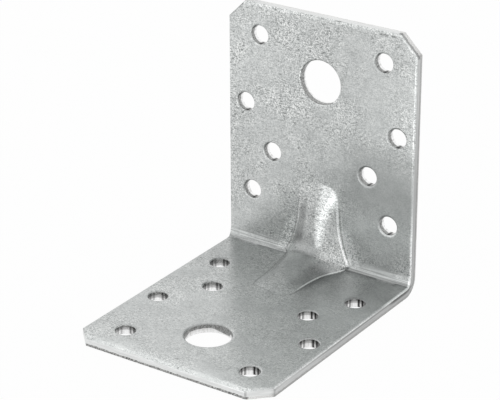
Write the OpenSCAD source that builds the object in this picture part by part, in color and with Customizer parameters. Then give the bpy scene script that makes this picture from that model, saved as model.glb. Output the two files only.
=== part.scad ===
// Reinforced angle bracket for timber joints, one folded zinc-coated steel sheet.
// The base leg lies on z = 0 and runs toward -y. The wall leg stands at +y, its back facing +y.

/* [Sheet] */
// Outer length of each leg, measured from the outside of the fold
leg_length = 70; // [66:0.5:80]
// Width of the sheet along the fold
width = 56; // [50:0.5:64]
// Thickness of the sheet
sheet_t = 2.5; // [2:0.1:3]
// Inside radius of the fold
fold_r = 2; // [1.5:0.1:3]
// Length of the 45 degree cut on each free corner
corner_cut = 5; // [3:0.1:7]

/* [Holes] */
// Diameter of the nail holes
nail_d = 5; // [4:0.1:5.5]
// Diameter of the bolt hole in each leg
bolt_d = 11.8; // [9:0.1:13]
// Distance of the bolt hole from the free end
bolt_from_end = 17.6; // [16:0.1:19]
// Distance of the end pair of nail holes from the free end
end_pair_from_end = 8.5; // [7:0.1:9.5]
// Distance of the end pair from the side edges
end_pair_from_side = 9.5; // [8.5:0.1:11]
// Distance of the wide pair of nail holes from the free end
wide_pair_from_end = 27.7; // [25:0.1:30]
// Distance of the wide pair from the side edges
wide_pair_from_side = 5.2; // [5:0.1:8]
// Distance of the narrow pair of nail holes from the free end
narrow_pair_from_end = 40; // [37:0.1:42]
// Distance of the narrow pair from the side edges
narrow_pair_from_side = 13.5; // [11:0.1:15]
// Distance of the fold pair of nail holes from the free end
fold_pair_from_end = 52.2; // [50:0.1:54]
// Distance of the fold pair from the side edges
fold_pair_from_side = 7.2; // [6.5:0.1:9]

/* [Pressed rib] */
// Length of the rib on each leg, from the inner corner
rib_reach = 23; // [20:0.5:25]
// Half width of the rib on the flat of each leg
rib_half_width = 6.5; // [5:0.1:7.5]
// Half width of the rib at the fold
rib_fold_half_width = 10; // [8:0.1:11]
// How far the crest stands off each leg where its two straight runs would meet
rib_rise = 4.1; // [3:0.1:4.8]
// Radius of the crest where it turns from one leg to the other
rib_turn_r = 3; // [2.5:0.1:6]
// How deep the edge of the rib starts below the face of the sheet
rib_edge_dip = 0.3; // [0.2:0.05:0.4]
// Share of each leg's rib over which it flares toward the fold
rib_flare = 0.62; // [0.5:0.01:0.8]
// How much the half width narrows for each millimetre of depth, as the press tool does
rib_draft = 0.35; // [0.2:0.01:0.5]
// Power of the section's curve at the fold, 2 being a plain arch
rib_arch = 2; // [1.8:0.1:2.4]
// Power of the section's curve at the tips, where it is squarer
rib_tip_arch = 4.5; // [3:0.1:6]

/* [Hidden] */
zinc = [0.72, 0.74, 0.74];
wall_back_y = leg_length / 2;
cut_spare = 1;
rib_rows = 18;
rib_columns = 6;
// Each pair of nail holes as [distance from the free end, distance from the side edges]
nail_pairs = [
    [end_pair_from_end, end_pair_from_side],
    [wide_pair_from_end, wide_pair_from_side],
    [narrow_pair_from_end, narrow_pair_from_side],
    [fold_pair_from_end, fold_pair_from_side],
];

// Side view of the rib. A point is [a, b]: a is measured off the inner face of the wall leg,
// b above the inner face of the base leg. The rib is the same on both legs, so each curve is
// made for the wall leg and swapped for the base leg. The place q runs from -1 at the tip on
// the base leg through 0 at the fold to 1 at the tip on the wall leg.
diagonal = [1, 1] / sqrt(2);
function swapped(p, q) = q < 0 ? [p[1], p[0]] : p;

// The inner face of the sheet: an arc round the fold, then straight up the leg.
face_arc = fold_r * PI / 4;
face_run = rib_reach - fold_r + face_arc;
function face_turn(q) = min(abs(q) * face_run / fold_r * 180 / PI, 45);
function face_normal(q) = [cos(45 - face_turn(q)), sin(45 - face_turn(q))];
function face_point(q, depth) =
    let (past_arc = max(abs(q) * face_run - face_arc, 0))
    swapped([fold_r, fold_r + past_arc] - (fold_r + depth) * face_normal(q), q);

// The crest of the rib: an arc round the corner, then a straight run that leans to the leg.
crest_lean = atan((rib_rise + rib_edge_dip) / (rib_reach - rib_rise));
crest_half_turn = 45 - crest_lean;
crest_setback = rib_turn_r * tan(crest_half_turn);
crest_arc = rib_turn_r * crest_half_turn * PI / 180;
crest_straight = (rib_reach - rib_rise) / cos(crest_lean) - crest_setback;
crest_run = crest_arc + crest_straight;
crest_centre = [rib_rise, rib_rise] + diagonal * rib_turn_r / cos(crest_half_turn);
function crest_turn(q) = min(abs(q) * crest_run / rib_turn_r * 180 / PI, crest_half_turn);
function crest_normal(q) = [cos(45 - crest_turn(q)), sin(45 - crest_turn(q))];
function crest_point(q, depth) =
    let (past_arc = max(abs(q) * crest_run - crest_arc, 0))
    let (along = [-sin(crest_lean), cos(crest_lean)] * past_arc)
    swapped(crest_centre - (rib_turn_r + depth) * crest_normal(q) + along, q);

// The plan of the rib flares toward the fold, and its section grows squarer toward the tips.
squarer_from = 0.6;
function half_width(q, depth) =
    let (near_fold = max(1 - abs(q) / rib_flare, 0))
    rib_half_width + (rib_fold_half_width - rib_half_width) * pow(near_fold, 2) - rib_draft * depth;
function section(u, q) =
    let (near_tip = max(abs(q) - squarer_from, 0) / (1 - squarer_from))
    1 - pow(abs(u), rib_arch + (rib_tip_arch - rib_arch) * pow(near_tip, 2));

// A point of the pressed skin, depth being 0 on its upper face and sheet_t on its lower face
function skin_point(q, u, depth) =
    let (edge = face_point(q, depth + rib_edge_dip))
    let (p = edge + (crest_point(q, depth) - edge) * section(u, q))
    placed(u * half_width(q, depth), p);
function placed(x, p) = [x, wall_back_y - sheet_t - p[0], sheet_t + p[1]];

// Solid between the skin at one depth and a plain surface below it
module rib_solid(depth, below) {
    rows = 2 * rib_rows;
    columns = 2 * rib_columns;
    per_row = columns + 3;
    points = [
        for (i = [0 : rows]) let (q = i / rib_rows - 1) each concat(
            [for (j = [0 : columns]) skin_point(q, j / rib_columns - 1, depth)],
            [
                placed(half_width(q, depth), face_point(q, below)),
                placed(-half_width(q, depth), face_point(q, below)),
            ]
        ),
    ];
    sides = [
        for (i = [0 : rows - 1]) for (j = [0 : per_row - 1])
            let (a = i * per_row + j, b = i * per_row + (j + 1) % per_row)
            each [[a, b + per_row, b], [a, a + per_row, b + per_row]],
    ];
    first_end = [for (j = [0 : per_row - 1]) (j + per_row - 1) % per_row];
    last_end = [for (j = [per_row - 1 : -1 : 0]) rows * per_row + j];
    polyhedron(points = points, faces = concat(sides, [first_end, last_end]));
}

// Quarter of a plane beyond the fold, with its corner rounded
module inside_of_fold(r) {
    difference() {
        translate([-leg_length, 0]) square(leg_length);
        translate([-r, 0]) square(r);
    }
    translate([-r, r]) circle(r = r, $fn = 96);
}

// The folded strip before anything is cut in it
module folded_strip() {
    rotate([90, 0, 90])
        linear_extrude(height = width, center = true)
            translate([wall_back_y, 0])
                difference() {
                    inside_of_fold(fold_r + sheet_t);
                    translate([-sheet_t, sheet_t]) inside_of_fold(fold_r);
                }
}

// What is cut from a leg lying on z = 0 with its free end at y = 0 and the fold at +y
module leg_cuts() {
    depth = sheet_t + 2 * cut_spare;
    translate([0, bolt_from_end, -cut_spare])
        cylinder(d = bolt_d, h = depth, $fn = 96);
    for (pair = nail_pairs, side = [-1, 1])
        translate([side * (width / 2 - pair[1]), pair[0], -cut_spare])
            cylinder(d = nail_d, h = depth, $fn = 48);
    for (side = [-1, 1])
        translate([side * width / 2, 0, -cut_spare])
            rotate(45)
                cube([corner_cut * sqrt(2), corner_cut * sqrt(2), 3 * depth], center = true);
}

module bracket() {
    color(zinc)
        difference() {
            union() {
                folded_strip();
                rib_solid(0, 0.6 * sheet_t);
            }
            rib_solid(sheet_t, sheet_t + cut_spare);
            translate([0, wall_back_y - leg_length, 0]) leg_cuts();
            translate([0, wall_back_y - sheet_t, leg_length]) rotate([-90, 0, 0]) leg_cuts();
        }
}

bracket();
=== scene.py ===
import bpy
import math
from mathutils import Matrix, Vector


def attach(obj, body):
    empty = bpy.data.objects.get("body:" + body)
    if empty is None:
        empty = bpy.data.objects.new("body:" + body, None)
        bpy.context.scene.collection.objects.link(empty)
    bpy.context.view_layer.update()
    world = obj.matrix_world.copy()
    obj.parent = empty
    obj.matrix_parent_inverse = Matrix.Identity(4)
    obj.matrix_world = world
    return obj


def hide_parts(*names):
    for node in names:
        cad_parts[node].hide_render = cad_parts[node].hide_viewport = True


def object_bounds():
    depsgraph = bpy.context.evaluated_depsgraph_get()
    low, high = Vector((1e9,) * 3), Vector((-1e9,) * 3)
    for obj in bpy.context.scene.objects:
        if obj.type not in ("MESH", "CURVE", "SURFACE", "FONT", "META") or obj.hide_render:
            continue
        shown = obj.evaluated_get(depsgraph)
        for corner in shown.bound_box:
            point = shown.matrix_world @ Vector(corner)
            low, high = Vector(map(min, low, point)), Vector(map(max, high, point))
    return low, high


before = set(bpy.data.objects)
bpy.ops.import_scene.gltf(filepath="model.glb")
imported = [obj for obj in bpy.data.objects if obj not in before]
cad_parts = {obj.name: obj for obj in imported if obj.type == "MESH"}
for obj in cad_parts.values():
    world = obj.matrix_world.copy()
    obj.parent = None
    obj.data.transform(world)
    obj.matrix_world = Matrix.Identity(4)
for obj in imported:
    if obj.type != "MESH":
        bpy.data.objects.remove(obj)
cad_low, cad_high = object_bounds()

# Sizes of the bracket, in millimetres until the finished piece is scaled to metres.
MM = 0.001
LEG = round((cad_high[2] - cad_low[2]) / MM, 3)
WIDTH = round((cad_high[0] - cad_low[0]) / MM, 3)
GAUGE = 2.5
FOLD_R = 2.0
CORNER_CUT = 5.0
NAIL_R = 2.5
BOLT_R = 5.9
BOLT_ROW = 17.6
BOLT_SIDES = 96
NAIL_SIDES = 56
# Each pair of nail holes as (distance from the free end, half spacing).
NAIL_PAIRS = ((8.5, 18.5), (27.7, 22.8), (40.0, 14.5), (52.2, 20.8))

# The sheared edge: rolled over on the punched side, broken off on the back.
RIM_R = 0.3
ROLL_WIDTH = 0.6
ROLL_DEPTH = 0.4
BACK_R = 0.12
BREAK_DEPTH = 1.8
BREAK_INSET = 0.1
# The roll of the base leg's free end, as a multiple of the others.
FRONT_ROLL = 1.9
# The corner cut at the left of the base leg's free end, smaller than the other three.
FRONT_LEFT_CUT = 3.6

# Dark tears down a nail hole's wall on each leg, as (angle and half width in degrees, darkness).
BASE_TEARS = ((74, 13, 0.98), (99, 11, 0.98), (152, 8, 0.7), (176, 9, 0.8))
WALL_TEARS = ((136, 15, 0.85), (272, 14, 0.75))
# Angle on the sheet toward which the punch left the deepest marks; the painted shade on the hole rims is
# deepest a quarter turn from it.
WEAR_AND_SHADE_ANGLE = math.radians(34)
# Places along the base leg that part its end pair of nail holes, its middle ones and the pair by the fold.
BEHIND_END_PAIR = -50.0
BY_THE_FOLD = -20.0

# The pressed rib, as in the part's source.
RIB_REACH = 23.0
RIB_HALF_WIDTH = 6.5
RIB_FOLD_HALF_WIDTH = 10.0
RIB_RISE = 4.1
RIB_TURN_R = 3.0
RIB_EDGE_DIP = 0.3
RIB_FLARE_END = 0.62
RIB_DRAFT = 0.35
RIB_ARCH = 2.0
RIB_TIP_ARCH = 4.5
SQUARER_FROM = 0.6

# What only the dressed rib has: an eased crease, and a shift on the base leg that grows from the fold.
RIB_CREASE = 0.2
BASE_RIB_SHIFT = 0.9
SHIFT_RUN = 8.0
# How far out the rib is pressed, in half widths, and the rise at which it hides the fold's own line.
PRESS_REACH = 1.3
FOLD_LINE_HIDDEN = 0.6
# The fine grid that is cut in the blank before it is folded and pressed.
CUT_STEP = 0.4
CUT_MARGIN = 1.0
FOLD_CUTS = 6
# Points closer than this count as one.
NEAR = 0.001
# How far past a hole's edge, or past its even roll, a point still belongs to the hole.
HOLE_MARGIN = 0.4
RIM_MARGIN = 0.05
# Upright share of a face's normal above which it is flat, and below which it is part of a sheared wall.
FLAT_LIMIT = 0.999
WALL_LIMIT = 0.4
# Places of the sheared and punched finishes among the piece's materials, after the zinc.
SHEARED_SLOT = 1
PUNCHED_SLOT = 2
# Distance from the crease that stands for any place clear of the rib.
CLEAR_OF_RIB = 9.0

WALL_BACK = LEG / 2
FOLD_ARC = FOLD_R * math.pi / 4
FOLD_TO_END = LEG - GAUGE - FOLD_R + FOLD_ARC
RIB_RUN = RIB_REACH - FOLD_R + FOLD_ARC
# The sum of x and s all along the wall leg's right corner cut, and of -x and s along its left one.
CUT_SUM = WIDTH / 2 + FOLD_TO_END - CORNER_CUT

# Inner side of the fold as (off the wall leg, above the base leg): crisp on the base, eased up the wall.
FOLD_LINE_TOP = 2.9
FOLD_LINE = (Vector((0.75, 0.0)), Vector((0.2, 1.2)), Vector((0.0, FOLD_LINE_TOP)))
FOLD_LINE_END = FOLD_LINE_TOP - FOLD_R + FOLD_ARC

# Tones of the finishes, each from its darkest grain to its brightest, as (place on the ramp, colour).
ZINC_TONES = ((0.0, (0.20, 0.208, 0.205)), (0.5, (0.528, 0.545, 0.54)), (1.0, (0.92, 0.93, 0.915)))
BURNISHED_TONES = ((0.3, (0.67, 0.68, 0.675)), (0.7, (0.84, 0.85, 0.845)))
# The broken part's tones at the base leg's free end, painted dark as shade.
SHADED_BREAK_TONES = ((0.38, (0.09, 0.09, 0.088)), (0.62, (0.60, 0.60, 0.59)))
PALE_BREAK_TONES = ((0.35, (0.68, 0.68, 0.67)), (0.65, (0.88, 0.88, 0.87)))
# The punch-scraped band of the hole walls, painted dark as shade inside the hole.
SHADED_SCRAPE_TONES = ((0.36, (0.13, 0.13, 0.128)), (0.62, (0.32, 0.325, 0.32)))
TORN_TONES = ((0.3, (0.70, 0.70, 0.69)), (0.55, (0.97, 0.97, 0.97)))

# The photograph's camera, from the fit of hole centres and corners: degrees, metres and pixels.
CAMERA_AZIMUTH = 34.324
CAMERA_ELEVATION = 24.462
CAMERA_ROLL = -0.204
CAMERA_DISTANCE = 0.5115
CAMERA_AIM = (0, 0.000852, 0.03187)
FOCAL_PX = 2084.9
PHOTO_WIDTH_PX = 500

# The studio: the world's light, and how much of what the camera sees of the floor is pure white.
WORLD_STRENGTH = 0.8
WHITE_SHARE = 0.965
FLOOR_SIZE = 6
FLOOR_DROP = 0.0001


# The blank: x runs across the sheet and s along it, from the fold's middle up the wall leg

def hole_list():
    """Every hole as (x, s, radius)."""
    holes = []
    for leg in (-1, 1):
        holes.append((0, leg * (FOLD_TO_END - BOLT_ROW), BOLT_R))
        for from_end, side in NAIL_PAIRS:
            for hand in (-1, 1):
                holes.append((hand * side, leg * (FOLD_TO_END - from_end), NAIL_R))
    return holes


def outline_points():
    half, end, cut, left = WIDTH / 2, FOLD_TO_END, CORNER_CUT, FRONT_LEFT_CUT
    return [(half, end - cut), (half - cut, end), (cut - half, end), (-half, end - cut),
            (-half, left - end), (left - half, -end), (half - cut, -end), (half, cut - end)]


def flat_blank():
    """The sheet as it is punched, before it is folded, with an even roll on every edge."""
    curve = bpy.data.curves.new("bracket", "CURVE")
    curve.dimensions = "2D"
    curve.fill_mode = "BOTH"
    curve.extrude = GAUGE / 2 - RIM_R
    curve.bevel_depth = RIM_R
    curve.bevel_resolution = 3
    curve.offset = -RIM_R
    add_loop(curve, outline_points())
    for x, s, r in hole_list():
        add_circle(curve, x, s, r, BOLT_SIDES if r == BOLT_R else NAIL_SIDES)
    blank = bpy.data.objects.new("bracket_sheet", curve)
    bpy.context.collection.objects.link(blank)
    select_only(blank)
    bpy.ops.object.convert(target="MESH")
    return bpy.context.object


def select_only(piece):
    bpy.ops.object.select_all(action="DESELECT")
    piece.select_set(True)
    bpy.context.view_layer.objects.active = piece


def add_loop(curve, points):
    spline = curve.splines.new("POLY")
    spline.points.add(len(points) - 1)
    for point, (x, y) in zip(spline.points, points):
        point.co = (x, y, 0, 1)
    spline.use_cyclic_u = True


def add_circle(curve, x, y, r, count):
    turn = 2 * math.pi / count
    add_loop(curve, [(x + r * math.cos(turn * i), y + r * math.sin(turn * i)) for i in range(count)])


def inward_at(corner):
    """Way into the sheet from an outline corner: one step of it stands one millimetre off both edges."""
    points = [Vector(p) for p in outline_points()]
    i = points.index(corner)
    before = (corner - points[i - 1]).normalized()
    after = (points[(i + 1) % len(points)] - corner).normalized()
    inside = Vector((-before.y, before.x)) + Vector((-after.y, after.x))
    return inside / (1 + before.dot(after))


def edge_of(x, s, holes, corners):
    """The wall point that a rim vertex belongs to, and the way into the sheet from there."""
    here = Vector((x, s))
    for hx, hs, r in holes:
        out = here - Vector((hx, hs))
        if out.length < r + RIM_R + RIM_MARGIN:
            way = out.normalized()
            return Vector((hx, hs)) + way * r, way
    corner = min(corners, key=lambda c: (c - here).length)
    return corner, inward_at(corner)


def shear_edges(blank):
    """Rolls the edges over on the punched side and breaks them off toward the back."""
    holes = hole_list()
    corners = [Vector(p) for p in outline_points()]
    bpy.ops.object.mode_set(mode="EDIT")
    bpy.ops.mesh.select_all(action="SELECT")
    bpy.ops.mesh.remove_doubles(threshold=NEAR)
    bpy.ops.mesh.bisect(plane_co=(0, 0, 0), plane_no=(0, 0, 1), threshold=NEAR / 2)
    bpy.ops.object.mode_set(mode="OBJECT")
    for vertex in blank.data.vertices:
        x, s, z = vertex.co
        start, way = edge_of(x, s, holes, corners)
        inset = (Vector((x, s)) - start).length / way.length
        roll = FRONT_ROLL if start.y < NEAR - FOLD_TO_END else 1
        if z > NEAR:
            inset *= roll * ROLL_WIDTH / RIM_R
            z = GAUGE / 2 - (GAUGE / 2 - z) * roll * ROLL_DEPTH / RIM_R
        elif z < -NEAR:
            inset = inset * BACK_R / RIM_R + BREAK_INSET
            z = -GAUGE / 2 + (z + GAUGE / 2) * BACK_R / RIM_R
        else:
            z = GAUGE / 2 - BREAK_DEPTH
        place = start + way * inset
        vertex.co = (place.x, place.y, z)
    blank.data.update()


def close_faces(blank):
    """Fills both faces of the sheet anew between the moved edges."""
    bpy.ops.object.mode_set(mode="OBJECT")
    for side in (1, -1):
        mesh = blank.data
        for part in (mesh.vertices, mesh.edges, mesh.polygons):
            part.foreach_set("select", [False] * len(part))
        for face in mesh.polygons:
            face.select = face.normal.z * side > FLAT_LIMIT and face.center.z * side > GAUGE / 2 - NEAR
        bpy.ops.object.mode_set(mode="EDIT")
        bpy.ops.mesh.select_mode(type="FACE")
        bpy.ops.mesh.delete(type="FACE")
        bpy.ops.mesh.select_mode(type="EDGE")
        bpy.ops.object.mode_set(mode="OBJECT")
        uses = {}
        for face in mesh.polygons:
            for key in face.edge_keys:
                uses[key] = uses.get(key, 0) + 1
        for edge in mesh.edges:
            here = mesh.vertices[edge.vertices[0]].co
            edge.select = uses.get(edge.key, 0) < 2 and here.z * side > GAUGE / 2 - NEAR
        bpy.ops.object.mode_set(mode="EDIT")
        bpy.ops.mesh.fill(use_beauty=True)
        bpy.ops.object.mode_set(mode="OBJECT")


def cut_across(place, normal):
    bpy.ops.mesh.select_all(action="SELECT")
    bpy.ops.mesh.bisect(plane_co=place, plane_no=normal, threshold=NEAR / 2)


def cut_lines():
    """Cuts the blank into a fine grid where it will be folded and pressed."""
    bpy.ops.object.mode_set(mode="EDIT")
    lines = [FOLD_ARC * i / FOLD_CUTS for i in range(-FOLD_CUTS, FOLD_CUTS + 1)]
    reach = RIB_RUN + CUT_MARGIN
    count = int((reach - FOLD_ARC) / CUT_STEP)
    for i in range(1, count + 1):
        place = FOLD_ARC + (reach - FOLD_ARC) * i / count
        lines += [place, -place]
    for place in lines:
        cut_across((0, place, 0), (0, 1, 0))
    wide = RIB_FOLD_HALF_WIDTH + CUT_MARGIN
    count = int(2 * wide / CUT_STEP)
    for i in range(count + 1):
        cut_across((-wide + 2 * wide * i / count, 0, 0), (1, 0, 0))
    bpy.ops.object.mode_set(mode="OBJECT")


# Marks of making and painted shading, kept on the mesh for the finishes to read

def mark_surfaces(blank):
    """Gives the sheared walls their own finishes, and keeps each point's place, marks and painted shading on
    the sheet.
    """
    mesh = blank.data
    names = ("off_crease", "painted_shading", "frosted", "torn_from", "tears")
    mesh.attributes.new("sheet_place", "FLOAT_VECTOR", "POINT")
    for name in names:
        mesh.attributes.new(name, "FLOAT", "POINT")
    place = mesh.attributes["sheet_place"]
    columns = [mesh.attributes[name] for name in names]
    holes = hole_list()
    for vertex in mesh.vertices:
        x, s, z = vertex.co
        place.data[vertex.index].vector = (x, s, GAUGE / 2 - z)
        rim, torn_from, tears = hole_marks(x, s, holes)
        # The hole rims' painted shade joins the rest of the painted shading.
        values = (off_crease(x, s), painted_shading(x, s) + rim, frosted(x, s), torn_from, tears)
        for column, value in zip(columns, values):
            column.data[vertex.index].value = value
    for face in mesh.polygons:
        if abs(face.normal.z) > WALL_LIMIT:
            continue
        x, s, _ = face.center
        in_hole = any(math.hypot(x - hx, s - hs) < r + HOLE_MARGIN for hx, hs, r in holes)
        face.material_index = PUNCHED_SLOT if in_hole else SHEARED_SLOT


def hole_marks(x, s, holes):
    """How much painted shade a hole's rim gets, how deep its wall is scraped, and how dark the tear there
    is.
    """
    unmarked = (0, 1, 0)
    if abs(x) < RIB_FOLD_HALF_WIDTH and abs(s) < RIB_RUN:
        return unmarked
    hx, hs, r = min(holes, key=lambda hole: math.hypot(x - hole[0], s - hole[1]) - hole[2])
    gap = math.hypot(x - hx, s - hs) - r
    if gap > ROLL_WIDTH:
        return unmarked
    angle = math.atan2(s - hs, x - hx)
    across = math.cos(angle - WEAR_AND_SHADE_ANGLE)
    far_side = math.sin(angle - WEAR_AND_SHADE_ANGLE)
    # Painted shade on the hole's rim, deepest on one side.
    rim = (0.05 + 0.3 * far_side) * (1 - ease(gap / ROLL_WIDTH))
    if r == BOLT_R:
        return rim, bolt_scrape(across, hs < 0), 0
    return rim, nail_scrape(across, hx, hs), tear_at(angle, hx, hs)


def bolt_scrape(across, on_base):
    """Depth to which a bolt hole's wall is scraped, deepest at two places on the base leg."""
    if not on_base:
        return 1.75
    near_side = 0.5 * ease((-across - 0.8) / 0.15)
    worn_side = 0.9 * ease((across - 0.05) / 0.6) * ease((0.92 - across) / 0.06)
    return 1.25 + near_side + worn_side


def nail_scrape(across, hx, hs):
    """Depth to which a nail hole's wall is scraped, even on the wall leg and one-sided on the base leg."""
    if hs > 0:
        return 1.4
    deeper = 1.3 * ease((across - 0.6) / 0.3)
    if hx < 0 and hs > BEHIND_END_PAIR:
        deeper = max(deeper, 0.85 if hs > BY_THE_FOLD else 0.5)
    return 0.65 + deeper


def tear_at(angle, hx, hs):
    """Darkness of the nearest tear in a nail hole's wall, fainter at the left of the base leg."""
    tears = WALL_TEARS if hs > 0 else BASE_TEARS
    turned = [(abs((math.degrees(angle) - at + 180) % 360 - 180) / wide, dark) for at, wide, dark in tears]
    tear = max(dark * max(1 - turn, 0) for turn, dark in turned)
    darkest = 1.0 if hx < 0 and hs < 0 else 1.5
    return min(darkest * tear, 0.96)


def off_crease(x, s):
    """Distance across the sheet from the rib's crease, below zero on the rib."""
    q = s / RIB_RUN
    if abs(q) >= 1:
        return CLEAR_OF_RIB
    reach = (crest_point(q, 0) - face_point(q, RIB_EDGE_DIP)).length
    if reach <= RIB_EDGE_DIP:
        return CLEAR_OF_RIB
    crease = half_width(q, 0) * (1 - RIB_EDGE_DIP / reach) ** (1 / roundness(q))
    return min(abs(x - rib_middle(s)) - crease, CLEAR_OF_RIB)


def painted_shading(x, s):
    """Painted shade: darker by the fold and on the rib; less, as a painted highlight, on its crest and at
    the fold's right end.
    """
    off = off_crease(x, s)
    # Painted shade by the fold, in the wedge beside the rib, on its left flank, foot and middle, and faintly
    # all over it.
    by_fold = (0.18 + 0.24 * ease((x + 3) / 24)) * within(s, -26, 20, 0, 0.8)
    wedge = 0.28 * within(x, 0.5, 3, 7.5, 1.5) * within(s, -19, 6, -2.5, 3)
    left_flank = 0.36 * ease((-2.6 - x) / 1.4) * ease((-0.1 - off) / 0.6) * within(s, 1.5, 3, 17, 4)
    rib_foot = 0.24 * within(x, -7, 2, 3.5, 1.5) * within(s, -3, 3, 7, 3.5)
    middle = 0.14 * within(x, -5, 2, 1, 2) * within(s, 2, 4, 17, 5)
    on_rib = 0.05 * ease(-off / 0.5) * ease((s - 1) / 3)
    # Less painted shade at the fold's right end, as a painted highlight there.
    right_end = 0.3 * ease((x - 22) / 4) * within(s, -0.5, 1, 7, 5)
    painted_shade = by_fold + wedge + left_flank + middle + rib_foot + on_rib
    # The crest's painted highlight and the fold end's painted highlight lighten the painted shade.
    return painted_shade - painted_crest_highlight(x, s, off) - right_end


def painted_crest_highlight(x, s, off):
    """Painted highlight on the rib's crest on the wall leg, most at its tip."""
    crest = 2.0 + 1.2 * ease((s - 12) / 5)
    crest_half = 1.1 + 1.2 * ease((s - 6) / 10)
    highlight_gain = 0.33 + 0.22 * ease((s - 14) / 4)
    highlight_gain *= ease((crest_half - abs(x - crest)) / 1.2 + 0.5)
    return highlight_gain * ease(-off / 0.4) * within(s, 1.5, 2, 22.5, 1)


def frosted(x, s):
    """How much stronger the grain is: at the rib's tip, beside its feet and at the fold's right end."""
    tip = 0.35 * within(s, 10, 5, 24, 3) * within(x, -9, 3, 9, 3)
    lowest = 0.5 if x > 9 else -3
    foot = 0.5 * within(s, lowest, 1.5, 9, 5) * within(x, 1, 3, 14, 4)
    left_foot = 0.5 * within(s, 0.5, 1.5, 8, 4) * within(x, -12, 3, -5, 2)
    right_end = 0.7 * ease((x - 21) / 4) * within(s, 0.5, 1, 9, 5)
    return tip + foot + left_foot + right_end


def within(value, start, rise, end, fall):
    """One inside the start and the end, rising over the first length and falling over the last."""
    return ease((value - start) / rise) * ease((end - value) / fall)


def ease(t):
    """From 0 to 1 as t does, with no sudden start or stop."""
    t = min(max(t, 0), 1)
    return t * t * (3 - 2 * t)


# Folding and pressing

# A point of the side view is (off the wall leg's inner face, above the base leg's). It is worked out for the
# wall leg and swapped for the base leg. The place q runs from -1 to 1, from tip to tip of the rib.
def face_normal(q):
    angle = math.pi / 4 - min(abs(q) * RIB_RUN / FOLD_R, math.pi / 4)
    return Vector((math.cos(angle), math.sin(angle)))


def face_point(q, depth):
    past_arc = max(abs(q) * RIB_RUN - FOLD_ARC, 0)
    return Vector((FOLD_R, FOLD_R + past_arc)) - (FOLD_R + depth) * face_normal(q)


def crest_point(q, depth):
    lean = math.atan((RIB_RISE + RIB_EDGE_DIP) / (RIB_REACH - RIB_RISE))
    half_turn = math.pi / 4 - lean
    arc = RIB_TURN_R * half_turn
    straight = (RIB_REACH - RIB_RISE) / math.cos(lean) - RIB_TURN_R * math.tan(half_turn)
    run = arc + straight
    centre = Vector((1, 1)) * (RIB_RISE + RIB_TURN_R / math.cos(half_turn) / math.sqrt(2))
    angle = math.pi / 4 - min(abs(q) * run / RIB_TURN_R, half_turn)
    normal = Vector((math.cos(angle), math.sin(angle)))
    along = Vector((-math.sin(lean), math.cos(lean))) * max(abs(q) * run - arc, 0)
    return centre - (RIB_TURN_R + depth) * normal + along


def half_width(q, depth):
    near_fold = max(1 - abs(q) / RIB_FLARE_END, 0)
    return RIB_HALF_WIDTH + (RIB_FOLD_HALF_WIDTH - RIB_HALF_WIDTH) * near_fold ** 2 - RIB_DRAFT * depth


def roundness(q):
    """Power of the rib's section: a plain curve, squarer toward the tips."""
    near_tip = max((abs(q) - SQUARER_FROM) / (1 - SQUARER_FROM), 0)
    return RIB_ARCH + (RIB_TIP_ARCH - RIB_ARCH) * near_tip ** 2


def rib_middle(s):
    """The rib sits a little to the left on the base leg."""
    return -BASE_RIB_SHIFT * ease(-s / SHIFT_RUN)


def soft_ramp(height, round_over):
    """Zero below the face and the height itself above it, eased over the crease between them."""
    if height <= -round_over:
        return 0.0
    if height >= round_over:
        return height
    return (height + round_over) ** 2 / (4 * round_over)


def fold_line(s):
    """The inner side of the fold, s running from the crisp line on the base to its end up the wall."""
    t = (s + FOLD_ARC) / (FOLD_LINE_END + FOLD_ARC)
    low, middle, high = FOLD_LINE
    return low * (1 - t) ** 2 + middle * 2 * t * (1 - t) + high * t ** 2


def pressed_point(x, s, depth):
    """Where a point of the blank ends up, depth being how far it lies below the inner face."""
    q = s / RIB_RUN
    face = face_point(q, depth)
    height = 0
    u = abs(x - rib_middle(s)) / half_width(q, depth)
    if abs(q) < 1 and u < PRESS_REACH:
        out = crest_point(q, depth) - face_point(q, depth + RIB_EDGE_DIP)
        height = soft_ramp(out.length * (1 - u ** roundness(q)) - RIB_EDGE_DIP, RIB_CREASE)
        face = face + out.normalized() * height
    if s < 0:
        face = face.yx
    if -FOLD_ARC < s < FOLD_LINE_END:
        plain = face_point(q, 0).yx if s < 0 else face_point(q, 0)
        clear_of_rib = max(1 - height / FOLD_LINE_HIDDEN, 0)
        face = face + (fold_line(s) - plain) * (1 - depth / GAUGE) * clear_of_rib
    return Vector((x, WALL_BACK - GAUGE - face.x, GAUGE + face.y))


def fold_and_press(blank):
    for vertex in blank.data.vertices:
        x, s, z = vertex.co
        vertex.co = pressed_point(x, s, GAUGE / 2 - z) * MM
    blank.data.update()


def smooth_finish(piece):
    select_only(piece)
    bpy.ops.object.mode_set(mode="EDIT")
    bpy.ops.mesh.select_all(action="SELECT")
    bpy.ops.mesh.normals_make_consistent(inside=False)
    bpy.ops.object.mode_set(mode="OBJECT")
    bpy.ops.object.shade_smooth()
    weighted = piece.modifiers.new("even_faces", "WEIGHTED_NORMAL")
    weighted.weight = 100
    weighted.keep_sharp = False
    bpy.ops.object.modifier_apply(modifier=weighted.name)


# Finishes

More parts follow.
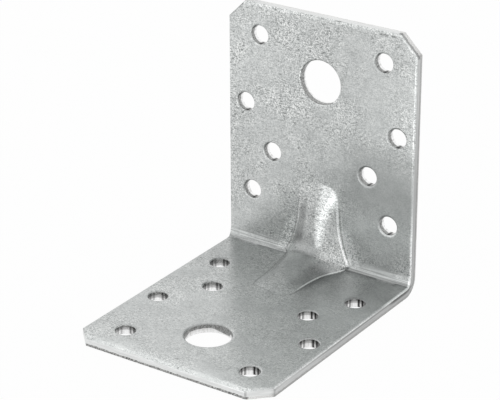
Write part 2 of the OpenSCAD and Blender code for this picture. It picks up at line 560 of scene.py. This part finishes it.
class Metal:
    """The nodes of one metal finish. Marks on the sheet are placed in its millimetres, as the blank is."""

    def __init__(self, name):
        self.material = bpy.data.materials.new(name)
        self.material.use_nodes = True
        self.tree = self.material.node_tree
        self.shader = self.tree.nodes["Principled BSDF"]
        self.shader.inputs["Metallic"].default_value = 1.0

    def add(self, kind, **values):
        node = self.tree.nodes.new(kind)
        for key, value in values.items():
            setattr(node, key, value)
        return node

    def join(self, source, target):
        self.tree.links.new(source, target)

    def attribute(self, name, output="Fac"):
        return self.add("ShaderNodeAttribute", attribute_name=name).outputs[output]

    def on_sheet(self):
        """Place across the sheet, place along it from the fold, and depth below the punched side."""
        split = self.add("ShaderNodeSeparateXYZ")
        self.join(self.attribute("sheet_place", "Vector"), split.inputs["Vector"])
        return split.outputs

    def noise(self, place, scale, detail=2.0, roughness=0.5, stretch=None):
        if stretch:
            mapping = self.add("ShaderNodeMapping")
            mapping.inputs["Scale"].default_value = stretch
            self.join(place, mapping.inputs["Vector"])
            place = mapping.outputs["Vector"]
        node = self.add("ShaderNodeTexNoise")
        node.inputs["Scale"].default_value = scale
        node.inputs["Detail"].default_value = detail
        node.inputs["Roughness"].default_value = roughness
        self.join(place, node.inputs["Vector"])
        return node.outputs["Fac"]

    def spread(self, value, low, high, to_low=0.0, to_high=1.0):
        node = self.add("ShaderNodeMapRange")
        limits = {"From Min": low, "From Max": high, "To Min": to_low, "To Max": to_high}
        for key, number in limits.items():
            node.inputs[key].default_value = number
        self.join(value, node.inputs["Value"])
        return node.outputs["Result"]

    def maths(self, operation, *values):
        node = self.add("ShaderNodeMath", operation=operation)
        for socket, value in zip(node.inputs, values):
            if isinstance(value, (int, float)):
                socket.default_value = value
            else:
                self.join(value, socket)
        return node.outputs["Value"]

    def times(self, first, *others):
        for other in others:
            first = self.maths("MULTIPLY", first, other)
        return first

    def plus(self, first, *others):
        for other in others:
            first = self.maths("ADD", first, other)
        return first

    def weighted(self, value, weight, start):
        """The start, with the value added to it by its weight."""
        return self.maths("MULTIPLY_ADD", value, weight, start)

    def larger(self, first, second):
        return self.maths("MAXIMUM", first, second)

    def band(self, value, low, high, soft):
        """One between low and high, fading to nothing over the soft distance outside them."""
        return self.times(self.spread(value, low - soft, low), self.spread(value, high + soft, high))

    def ramp(self, value, stops):
        node = self.add("ShaderNodeValToRGB")
        elements = node.color_ramp.elements
        while len(elements) < len(stops):
            elements.new(0.5)
        for element, (position, colour) in zip(elements, stops):
            element.position = position
            element.color = (*colour, 1)
        self.join(value, node.inputs["Fac"])
        return node.outputs["Color"]

    def mixed(self, share, first, second):
        node = self.add("ShaderNodeMix", data_type="RGBA")
        self.join(share, node.inputs[0])
        self.join(first, node.inputs[6])
        self.join(second, node.inputs[7])
        return node.outputs[2]

    def scaled(self, colour, factor):
        node = self.add("ShaderNodeVectorMath", operation="SCALE")
        self.join(colour, node.inputs["Vector"])
        self.join(factor, node.inputs["Scale"])
        return node.outputs["Vector"]

    def tinted(self, colour, mask, amount):
        """The colour, brighter by the amount where the mask is one, or duller if it is below zero."""
        return self.scaled(colour, self.weighted(mask, amount, 1.0))

    def bump(self, height, strength, distance):
        node = self.add("ShaderNodeBump")
        node.inputs["Strength"].default_value = strength
        node.inputs["Distance"].default_value = distance
        self.join(height, node.inputs["Height"])
        self.join(node.outputs["Normal"], self.shader.inputs["Normal"])


def zinc_skin():
    """Hot-dip zinc: speckle in patches, painted shade and painted highlights, and fine streaks along the
    fold.
    """
    m = Metal("galvanised_zinc")
    place = m.add("ShaderNodeTexCoord").outputs["Object"]
    x, s, _ = m.on_sheet()
    off = m.attribute("off_crease")
    feet = beside_feet(m, x, s, off)
    grain = zinc_grain(m, place)
    clouds = m.spread(m.noise(place, 240, 3.0, 0.6), 0.3, 0.7, -0.5, 0.5)
    tone = m.weighted(grain, grain_strength(m, place, x, s, off, feet), m.weighted(clouds, 0.12, 0.5))
    crease_highlight, outer, gutter = rib_creases(m, x, s, off)
    # Painted shade by the fold and on the rib, and painted highlights on its crest and at the fold's right
    # end.
    colour = m.scaled(m.ramp(tone, ZINC_TONES), m.maths("SUBTRACT", 1.0, m.attribute("painted_shading")))
    # Painted highlights on the right crease and on the line outside it.
    colour = m.scaled(colour, m.weighted(crease_highlight, 0.85, m.weighted(outer, 0.22, 1.0)))
    # Painted shade in the gutter beside the crease, and the fold's streaks.
    colour = m.scaled(colour, m.weighted(gutter, -0.25, m.plus(fold_streaks(m, s, off), 1.0)))
    # Painted highlights on the rims.
    colour = m.scaled(colour, rim_highlights(m, x, s))
    # Painted light and shade in broad patches.
    colour = m.scaled(colour, painted_light_patches(m, x, s, feet))
    m.join(colour, m.shader.inputs["Base Color"])
    rough = m.spread(m.noise(place, 90, 2.0), 0.3, 0.7, 0.28, 0.37)
    # The crease with the painted highlight is also a little smoother.
    m.join(m.weighted(crease_highlight, -0.06, rough), m.shader.inputs["Roughness"])
    m.bump(m.weighted(grain, 0.5, 0.5), 0.1, 0.00003)
    return m.material


def zinc_grain(m, place):
    """Fine and middling speckle with short dark dashes across the sheet."""
    fine = m.spread(m.noise(place, 3300, 1.0, 0.5), 0.28, 0.72, -0.5, 0.5)
    middle = m.spread(m.noise(place, 1500, 2.0, 0.6), 0.3, 0.7, -0.5, 0.5)
    dashes = m.noise(place, 1000, 2.0, 0.55, stretch=(0.7, 3.2, 3.2))
    dashes = m.spread(dashes, 0.34, 0.46, -0.85, 0.15)
    return m.weighted(fine, 0.64, m.weighted(middle, 0.26, m.times(dashes, 0.36)))


def grain_strength(m, place, x, s, off, feet):
    """Stronger in patches, at the top and where frosted, and calmer along the fold and on the right."""
    patches = m.spread(m.noise(place, 110, 2.0), 0.4, 0.6, 0.5, 1.05)
    calm = m.weighted(m.band(s, -1.4, 2.2, 0.5), m.spread(off, 0.2, 1.2, 0.0, -0.6), 1.0)
    smooth_part = m.times(m.band(s, 5.0, 30.0, 8.0), m.spread(x, 8.0, 13.0, 0.0, 0.5))
    calm = m.maths("SUBTRACT", calm, smooth_part)
    less_on_base = m.times(m.spread(s, 3.0, -3.0), m.spread(x, -10.0, 10.0, -0.04, -0.32))
    strength = m.times(patches, m.times(m.plus(less_on_base, 1.0), calm))
    rougher_top = m.weighted(m.spread(s, 20.0, 42.0), m.spread(x, 12.0, -6.0, 0.0, 0.45), 0.88)
    strength = m.weighted(strength, rougher_top, m.attribute("frosted"))
    return m.weighted(feet, 0.4, strength)


def rib_creases(m, x, s, off):
    """Painted highlight on the rib's right crease, a second painted highlight line outside it on the wall
    leg, and painted shade in the gutter beside the crease.
    """
    right = m.spread(x, -0.5, 0.5)
    up_wall = m.times(m.spread(s, 0.3, 1.5), m.spread(s, 20.0, 13.0))
    down_base = m.times(m.spread(s, -0.3, -1.2), m.spread(s, -18.5, -13.0, 0.0, 1.4))
    wall_ridge = m.times(m.band(off, -0.5, -0.05, 0.12), up_wall)
    base_ridge = m.times(m.band(off, -0.34, -0.12, 0.1), down_base)
    crease_highlight = m.times(m.larger(wall_ridge, base_ridge), right)
    outer = m.times(m.band(off, 0.75, 1.0, 0.2), m.times(up_wall, right))
    gutter = m.times(m.band(off, 0.12, 0.45, 0.12), m.band(s, -22.0, 15.0, 2.0))
    return crease_highlight, outer, gutter


def fold_streaks(m, s, off):
    """Fine streaks along the inner side of the fold, on both sides of the rib."""
    streaks = m.noise(m.attribute("sheet_place", "Vector"), 2.4, 1.0, stretch=(0.03, 1.0, 0.0))
    streaks = m.spread(streaks, 0.4, 0.6, -0.24, 0.24)
    return m.times(streaks, m.spread(off, 0.2, 1.2), m.band(s, -1.4, 2.2, 0.4))


def beside_feet(m, x, s, off):
    """The two places on the wall leg beside the feet of the rib."""
    flared = m.weighted(s, 0.35, m.maths("ABSOLUTE", x))
    near = m.times(m.band(flared, 9.6, 12.4, 1.2), m.band(s, 1.2, 9.0, 2.0))
    return m.times(near, m.spread(off, 0.3, 0.7))


def painted_light_patches(m, x, s, feet):
    """Broad places of the wall leg painted paler or darker as light and shade, and two faint ones on the
    base leg.
    """
    on_right = m.spread(x, 5.0, 12.0)
    paler_low = m.times(m.band(s, 4.0, 13.0, 4.0), m.times(on_right, 0.19))
    shaded_high = m.times(m.band(s, 22.0, 33.0, 5.0), m.times(on_right, -0.16))
    paler_left = m.times(m.spread(s, 28.0, 48.0), m.spread(x, 0.0, -20.0, 0.0, 0.11))
    back_left = m.times(m.band(s, -28.0, -15.0, 6.0), m.spread(x, -12.0, -20.0, 0.0, -0.06))
    front_right = m.times(m.band(s, -62.0, -48.0, 8.0), m.spread(x, 2.0, 14.0, 0.0, 0.07))
    paler_feet = m.weighted(feet, m.spread(x, -1.0, 1.0, 0.25, 0.5), 1.0)
    return m.plus(paler_low, shaded_high, paler_left, paler_feet, back_left, front_right)


def rim_highlights(m, x, s):
    """How bright the rims are, as painted highlights: most on the right by the fold, then the right cut and
    the free ends.
    """
    by_fold = m.weighted(m.band(s, -10.0, -2.0, 4.0), 0.9, m.spread(s, -35.0, -50.0, 0.3, 0.15))
    right = m.times(m.spread(x, WIDTH / 2 - 0.75, WIDTH / 2 - 0.5), by_fold)
    top = m.spread(s, FOLD_TO_END - 1.3, FOLD_TO_END - 0.4, 0.0, 0.25)
    front = m.spread(s, 1.6 - FOLD_TO_END, 0.9 - FOLD_TO_END, 0.0, 0.2)
    near_front = m.spread(s, 6.0 - FOLD_TO_END, 1.6 - FOLD_TO_END, 1.0, 1.16)
    right_cut = m.spread(m.plus(x, s), CUT_SUM - 0.75, CUT_SUM - 0.5, 0.0, 0.35)
    left_cut = m.spread(m.maths("SUBTRACT", s, x), CUT_SUM - 0.6, CUT_SUM - 0.3, 0.0, -0.3)
    nicked = m.larger(m.band(x, 17.4, 19.3, 0.3), m.band(x, 20.6, 21.8, 0.3))
    nicks = m.times(nicked, m.band(s, FOLD_TO_END - 1.15, FOLD_TO_END - 0.75, 0.15))
    rims = m.larger(m.larger(right, right_cut), m.larger(top, front))
    return m.plus(rims, m.weighted(nicks, -0.5, left_cut), near_front)


def sheared_edge():
    """Outer edges: a burnished band with lines along it, painted shade on the sides and by the fold, then
    the broken part below it.
    """
    m = Metal("sheared_edge")
    place = m.attribute("sheet_place", "Vector")
    x, s, depth = m.on_sheet()
    along = m.maths("ABSOLUTE", s)
    side = m.spread(along, FOLD_TO_END - 4.6, FOLD_TO_END - 5.0)
    on_wall = m.spread(s, -0.5, 0.5)
    right_cut = m.spread(m.plus(x, s), CUT_SUM - 0.8, CUT_SUM - 0.5)
    wavy = m.weighted(m.noise(place, 0.9, 3.0, 0.65), 0.8, depth)
    broken = m.spread(m.weighted(right_cut, 0.7, wavy), BREAK_DEPTH + 0.25, BREAK_DEPTH + 0.4)
    grit = m.noise(place, 3.6, 2.0, 0.6)
    lines = m.noise(place, 2.2, 2.0, 0.6, stretch=(0.06, 0.06, 1.6))
    burnish_and_shade = m.ramp(lines, BURNISHED_TONES)
    # Painted shade on the sides.
    burnish_and_shade = m.tinted(burnish_and_shade, side, m.spread(along, 25.0, 58.0, -0.45, -0.26))
    burnish_and_shade = m.tinted(burnish_and_shade, right_cut, -0.52)
    cut_end = WIDTH / 2 - CORNER_CUT
    burnish_and_shade = m.tinted(burnish_and_shade, m.band(x, cut_end - 0.3, cut_end + 0.1, 0.15), -0.35)
    off_seam = m.maths("SUBTRACT", depth, m.weighted(on_wall, 1.05, 0.52))
    seam = m.times(m.band(off_seam, -0.12, 0.12, 0.12), m.larger(side, right_cut))
    burnish_and_shade = m.tinted(burnish_and_shade, seam, m.spread(s, -35.0, -52.0, -0.36, -0.1))
    # Painted shade on the edge by the fold.
    by_fold = m.times(m.band(s, -8.0, -2.0, 2.5), m.band(depth, 0.25, 0.9, 0.25))
    burnish_and_shade = m.tinted(burnish_and_shade, by_fold, -0.55)
    colour = m.mixed(broken, burnish_and_shade, broken_part(m, grit, s, side, on_wall))
    m.join(colour, m.shader.inputs["Base Color"])
    m.join(m.spread(broken, 0, 1, 0.3, 0.6), m.shader.inputs["Roughness"])
    m.bump(m.times(grit, broken), 0.6, 0.0001)
    return m.material


def broken_part(m, grit, s, side, on_wall):
    """The broken part, rough: painted dark as shade along the base leg's free end, painted darker as shade
    on the sides, and pale elsewhere.
    """
    front = m.spread(s, 0.6 - FOLD_TO_END, 0.3 - FOLD_TO_END)
    pale = m.tinted(m.ramp(grit, PALE_BREAK_TONES), side, m.weighted(on_wall, 0.2, -0.45))
    return m.mixed(front, pale, m.ramp(grit, SHADED_BREAK_TONES))


def punched_wall():
    """Hole walls: the punch-scraped band painted dark grey as shade inside the hole, then torn bright, with
    a few dark tears.
    """
    m = Metal("punched_wall")
    place = m.attribute("sheet_place", "Vector")
    x, s, depth = m.on_sheet()
    wander = m.noise(place, 0.8, 2.0, 0.6)
    past = m.maths("SUBTRACT", m.weighted(wander, 0.4, depth), m.attribute("torn_from"))
    # Full in the base leg's nail holes, and faint in its bolt hole.
    on_base = m.times(m.spread(m.maths("ABSOLUTE", x), 7.0, 9.0, 0.3, 1.0), m.spread(s, 0.5, -0.5))
    half_torn = m.times(m.spread(past, 0.95, 0.7), on_base)
    torn = m.noise(place, 1.3, 2.0, 0.7, stretch=(1, 1, 0.08))
    torn = m.tinted(m.ramp(torn, TORN_TONES), half_torn, -0.42)
    # The punch-scraped band, painted dark as shade inside the hole.
    scraped = m.ramp(m.noise(place, 2.6, 2.0, 0.6), SHADED_SCRAPE_TONES)
    scraped = m.scaled(scraped, m.weighted(on_base, 0.4, m.spread(s, -0.5, 0.5, 1.0, 1.5)))
    whole = m.tinted(m.mixed(m.spread(past, 0.05, 0.3), scraped, torn), m.attribute("tears"), -1.0)
    m.join(whole, m.shader.inputs["Base Color"])
    m.shader.inputs["Roughness"].default_value = 0.42
    m.bump(wander, 0.3, 0.0001)
    return m.material


def bracket_piece():
    blank = flat_blank()
    shear_edges(blank)
    close_faces(blank)
    cut_lines()
    blank.data.materials.clear()
    for finish in (zinc_skin(), sheared_edge(), punched_wall()):
        blank.data.materials.append(finish)
    mark_surfaces(blank)
    fold_and_press(blank)
    smooth_finish(blank)
    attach(blank, "root")
    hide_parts("bracket")


# Studio

def white_floor():
    """A pale floor that looks white to the camera and in reflections, and still takes the shadow."""
    bpy.ops.mesh.primitive_plane_add(size=FLOOR_SIZE, location=(0, 0, -FLOOR_DROP))
    floor = bpy.context.object
    floor.name = "studio_floor"
    material = bpy.data.materials.new("studio_white")
    material.use_nodes = True
    nodes, links = material.node_tree.nodes, material.node_tree.links
    shader = nodes["Principled BSDF"]
    shader.inputs["Base Color"].default_value = (0.9, 0.9, 0.9, 1)
    shader.inputs["Roughness"].default_value = 0.9
    floor.data.materials.append(material)
    glow = nodes.new("ShaderNodeEmission")
    glow.inputs["Color"].default_value = (1, 1, 1, 1)
    glow.inputs["Strength"].default_value = 1.0
    path = nodes.new("ShaderNodeLightPath")
    mix = nodes.new("ShaderNodeMixShader")
    share = nodes.new("ShaderNodeMath")
    share.operation = "MULTIPLY_ADD"
    share.inputs[1].default_value = WHITE_SHARE
    links.new(path.outputs["Is Camera Ray"], share.inputs[0])
    links.new(path.outputs["Is Glossy Ray"], share.inputs[2])
    links.new(share.outputs["Value"], mix.inputs["Fac"])
    links.new(shader.outputs["BSDF"], mix.inputs[1])
    links.new(glow.outputs["Emission"], mix.inputs[2])
    links.new(mix.outputs["Shader"], nodes["Material Output"].inputs["Surface"])


def world_light():
    """Even light from all round, seen as plain white by the camera and in reflections."""
    world = bpy.data.worlds.new("studio")
    bpy.context.scene.world = world
    world.use_nodes = True
    nodes, links = world.node_tree.nodes, world.node_tree.links
    light = nodes["Background"]
    light.inputs["Color"].default_value = (1, 1, 1, 1)
    light.inputs["Strength"].default_value = WORLD_STRENGTH
    seen = nodes.new("ShaderNodeBackground")
    seen.inputs["Color"].default_value = (1, 1, 1, 1)
    seen.inputs["Strength"].default_value = 1.0
    path = nodes.new("ShaderNodeLightPath")
    either = nodes.new("ShaderNodeMath")
    either.operation = "MAXIMUM"
    mix = nodes.new("ShaderNodeMixShader")
    links.new(path.outputs["Is Camera Ray"], either.inputs[0])
    links.new(path.outputs["Is Glossy Ray"], either.inputs[1])
    links.new(either.outputs["Value"], mix.inputs["Fac"])
    links.new(light.outputs["Background"], mix.inputs[1])
    links.new(seen.outputs["Background"], mix.inputs[2])
    links.new(mix.outputs["Shader"], nodes["World Output"].inputs["Surface"])


def soft_light(name, place, aim, size, power):
    light = bpy.data.lights.new(name, "AREA")
    light.shape = "RECTANGLE"
    light.size, light.size_y = size
    light.energy = power
    lamp = bpy.data.objects.new(name, light)
    lamp.visible_camera = False
    bpy.context.collection.objects.link(lamp)
    lamp.location = place
    lamp.rotation_euler = (Vector(aim) - Vector(place)).to_track_quat("-Z", "Y").to_euler()


def photo_camera():
    data = bpy.data.cameras.new("photo_camera")
    camera = bpy.data.objects.new("photo_camera", data)
    bpy.context.collection.objects.link(camera)
    a, e, r = map(math.radians, (CAMERA_AZIMUTH, CAMERA_ELEVATION, CAMERA_ROLL))
    back = Vector((math.sin(a) * math.cos(e), -math.cos(a) * math.cos(e), math.sin(e)))
    right = Vector((math.cos(a), math.sin(a), 0))
    up = back.cross(right)
    rolled_right = right * math.cos(r) + up * math.sin(r)
    rolled_up = up * math.cos(r) - right * math.sin(r)
    turn = Matrix((rolled_right, rolled_up, back)).transposed().to_4x4()
    camera.matrix_world = Matrix.Translation(Vector(CAMERA_AIM) + back * CAMERA_DISTANCE) @ turn
    data.sensor_width = 36
    data.lens = FOCAL_PX * data.sensor_width / PHOTO_WIDTH_PX
    data.clip_start, data.clip_end = 0.01, 20
    bpy.context.scene.camera = camera


bracket_piece()
white_floor()
world_light()
# A soft strip in front, and a card lying before the base leg's free end that lights it from below.
soft_light("front_strip", place=(-0.046, -0.52, 0.062), aim=(0, 0.03, 0.02), size=(0.08, 0.12), power=0.06)
soft_light("front_card", place=(-0.003, -0.092, 0.001), aim=(-0.003, -0.091, 1), size=(0.026, 0.088),
           power=0.019)
photo_camera()

bpy.context.scene.view_settings.view_transform = "Standard"
